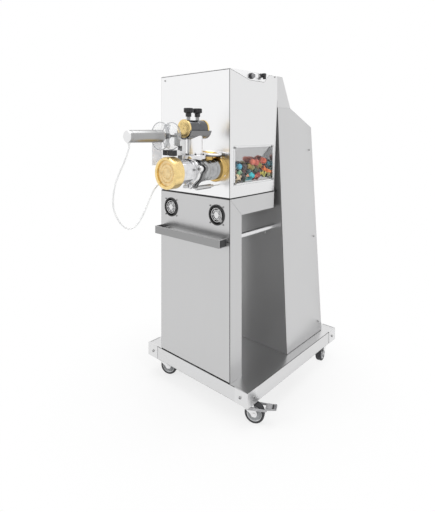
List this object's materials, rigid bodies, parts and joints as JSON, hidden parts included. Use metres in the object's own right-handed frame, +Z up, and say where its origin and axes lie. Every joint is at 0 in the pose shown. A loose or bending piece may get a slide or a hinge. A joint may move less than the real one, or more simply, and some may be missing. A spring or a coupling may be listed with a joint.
{
  "type": "electric pasta maker",
  "caption": "Floor-standing electric pasta extruder on a wheeled stainless steel trolley, with lidded mixing tank, brass ring nut and die, motor-driven cutter and side window.",
  "frame": {"origin": "centre of the bounding box's bottom face, on the floor under the wheels, measured without the cutter's lead", "axes": "+Z up, -Y the machine's front with the extruder, +X the operator's right when facing the front"},
  "size_m": [0.6806, 1.1845, 1.4227],
  "materials": {
    "tray_steel": "brushed stainless steel",
    "frame_steel": "plain steel",
    "cap_steel": "polished stainless steel",
    "panel_steel": "fine brushed stainless steel",
    "bar_steel": "brushed stainless steel",
    "deck_grey": "plain steel",
    "mirror_steel": "mirror polished stainless steel",
    "screw_steel": "bare steel",
    "latch_grey": "matte plastic",
    "knob_black": "matte plastic",
    "tower_steel": "fine brushed stainless steel",
    "tower_wall": "dark brushed steel",
    "clear_pane": "clear",
    "pieces": "smooth, mixed colours",
    "polished_steel": "polished stainless steel",
    "motor_grey": "satin paint",
    "brass": "turned, lightly polished",
    "die_brass": "satin",
    "fitting_steel": "bare steel",
    "dark_steel": "dark polished steel",
    "bracket_grey": "satin",
    "motor_alu": "satin anodised",
    "knife_steel": "polished",
    "clear_guard": "clear",
    "lead_clear": "smooth, near white",
    "fan_black": "matte plastic",
    "fan_hub": "smooth",
    "fork_steel": "zinc plated steel",
    "tyre": "rubber",
    "pedal_grey": "satin plastic"
  },
  "bodies": {
    "machine": {"base_tray": "tray_steel", "base_frame": "frame_steel", "corner_caps": "cap_steel", "front_panel": "panel_steel", "control_panel": "panel_steel", "side_frames": "panel_steel", "handle_bar": "bar_steel", "handrails": "bar_steel", "mid_deck": "deck_grey", "upper_housing": "mirror_steel", "panel_screws": "screw_steel", "lid_hinge": "frame_steel", "rear_hood": "mirror_steel", "tower_shell": "tower_steel", "tower_front_wall": "tower_wall", "display_tray": "mirror_steel", "display_pane": "clear_pane", "display_pieces": "pieces", "mixing_tank": "mirror_steel", "shaft_bearings": "frame_steel", "drive_chain": "frame_steel", "gearmotor": "motor_grey", "rear_ring": "brass", "rear_barrel": "polished_steel", "clamp_flange": "polished_steel", "front_barrel": "polished_steel", "die": "die_brass", "neck_flange": "polished_steel", "barrel_fittings": "fitting_steel", "upper_cylinder": "dark_steel", "upper_end_caps": "brass", "upper_cradle": "polished_steel", "cutter_bracket": "bracket_grey", "cutter_motor": "motor_alu", "cutter_guard": "clear_guard", "cutter_lead": "lead_clear", "fan_frames": "fan_black", "control_box": "deck_grey"},
    "lid": {"lid": "mirror_steel"},
    "latch_front": {"latch_knob_front": "latch_grey"},
    "latch_rear": {"latch_knob_rear": "knob_black"},
    "drive": {"drive_shaft": "polished_steel", "auger": "polished_steel"},
    "mixer": {"mixer_shaft": "polished_steel"},
    "ring_nut": {"ring_nut": "brass"},
    "hold_knob_front": {"hold_knob_front": "knob_black"},
    "hold_knob_rear": {"hold_knob_rear": "knob_black"},
    "cutter": {"cutter_rotor": "knife_steel"},
    "fan_left": {"fan_rotor_left": "fan_hub"},
    "fan_right": {"fan_rotor_right": "fan_hub"},
    "fork_fr": {"fork_front_right": "fork_steel"},
    "fork_fl": {"fork_front_left": "fork_steel"},
    "fork_rr": {"fork_rear_right": "fork_steel"},
    "fork_rl": {"fork_rear_left": "fork_steel"},
    "wheel_fr": {"wheel_front_right": "tyre"},
    "wheel_fl": {"wheel_front_left": "tyre"},
    "wheel_rr": {"wheel_rear_right": "tyre"},
    "wheel_rl": {"wheel_rear_left": "tyre"},
    "brake_pedal": {"brake_pedal": "pedal_grey"}
  },
  "joints": [
    {"name": "lid_hinge", "type": "hinge", "parent": "machine", "child": "lid", "pos_m": [-0.03422, 0.16695, 1.409], "axis": [-1, 0, 0], "range_deg": [0, 95]},
    {"name": "latch_front_turn", "type": "hinge", "parent": "lid", "child": "latch_front", "pos_m": [0.17578, -0.01105, 1.396], "axis": [1, 0, 0], "range_deg": [0, 90]},
    {"name": "latch_rear_turn", "type": "hinge", "parent": "lid", "child": "latch_rear", "pos_m": [0.17578, 0.06495, 1.405], "axis": [1, 0, 0], "range_deg": [0, 90]},
    {"name": "drive_spin", "type": "hinge", "parent": "machine", "child": "drive", "pos_m": [0.11578, -0.15305, 1.008], "axis": [0, -1, 0], "continuous": true},
    {"name": "mixer_spin", "type": "hinge", "parent": "machine", "child": "mixer", "pos_m": [-0.03422, -0.15305, 1.218], "axis": [0, -1, 0], "continuous": true},
    {"name": "ring_nut_turn", "type": "hinge", "parent": "machine", "child": "ring_nut", "pos_m": [0.11578, -0.41305, 1.008], "axis": [0, -1, 0], "range_deg": [0, 720]},
    {"name": "hold_knob_front_turn", "type": "hinge", "parent": "machine", "child": "hold_knob_front", "pos_m": [0.11578, -0.32505, 1.23], "axis": [0, 0, 1], "range_deg": [0, 360]},
    {"name": "hold_knob_rear_turn", "type": "hinge", "parent": "machine", "child": "hold_knob_rear", "pos_m": [0.11578, -0.27705, 1.23], "axis": [0, 0, 1], "range_deg": [0, 360]},
    {"name": "cutter_spin", "type": "hinge", "parent": "machine", "child": "cutter", "pos_m": [0.08578, -0.41305, 1.142], "axis": [0, -1, 0], "continuous": true},
    {"name": "fan_left_spin", "type": "hinge", "parent": "machine", "child": "fan_left", "pos_m": [-0.17372, -0.15305, 0.815], "axis": [0, -1, 0], "continuous": true},
    {"name": "fan_right_spin", "type": "hinge", "parent": "machine", "child": "fan_right", "pos_m": [0.10528, -0.15305, 0.815], "axis": [0, -1, 0], "continuous": true},
    {"name": "swivel_fr", "type": "hinge", "parent": "machine", "child": "fork_fr", "pos_m": [0.21978, -0.10705, 0.1], "axis": [0, 0, 1], "continuous": true},
    {"name": "roll_fr", "type": "hinge", "parent": "fork_fr", "child": "wheel_fr", "pos_m": [0.25422, -0.09099, 0.04], "axis": [-0.4226, 0.9063, 0], "continuous": true},
    {"name": "swivel_fl", "type": "hinge", "parent": "machine", "child": "fork_fl", "pos_m": [-0.28822, -0.10705, 0.1], "axis": [0, 0, 1], "continuous": true},
    {"name": "roll_fl", "type": "hinge", "parent": "fork_fl", "child": "wheel_fl", "pos_m": [-0.25378, -0.09099, 0.04], "axis": [-0.4226, 0.9063, 0], "continuous": true},
    {"name": "swivel_rr", "type": "hinge", "parent": "machine", "child": "fork_rr", "pos_m": [0.21978, 0.53595, 0.1], "axis": [0, 0, 1], "continuous": true},
    {"name": "roll_rr", "type": "hinge", "parent": "fork_rr", "child": "wheel_rr", "pos_m": [0.22768, 0.49878, 0.04], "axis": [0.9781, 0.2079, 0], "continuous": true},
    {"name": "swivel_rl", "type": "hinge", "parent": "machine", "child": "fork_rl", "pos_m": [-0.28822, 0.53595, 0.1], "axis": [0, 0, 1], "continuous": true},
    {"name": "roll_rl", "type": "hinge", "parent": "fork_rl", "child": "wheel_rl", "pos_m": [-0.28032, 0.49878, 0.04], "axis": [0.9781, 0.2079, 0], "continuous": true},
    {"name": "brake_pedal_hinge", "type": "hinge", "parent": "fork_fr", "child": "brake_pedal", "pos_m": [0.23066, -0.10198, 0.062], "axis": [-0.4226, 0.9063, 0], "range_deg": [0, 12]}
  ],
  "couplings": [
    {"joint": "mixer_spin", "follows": "drive_spin", "ratio": 0.75}
  ]
}
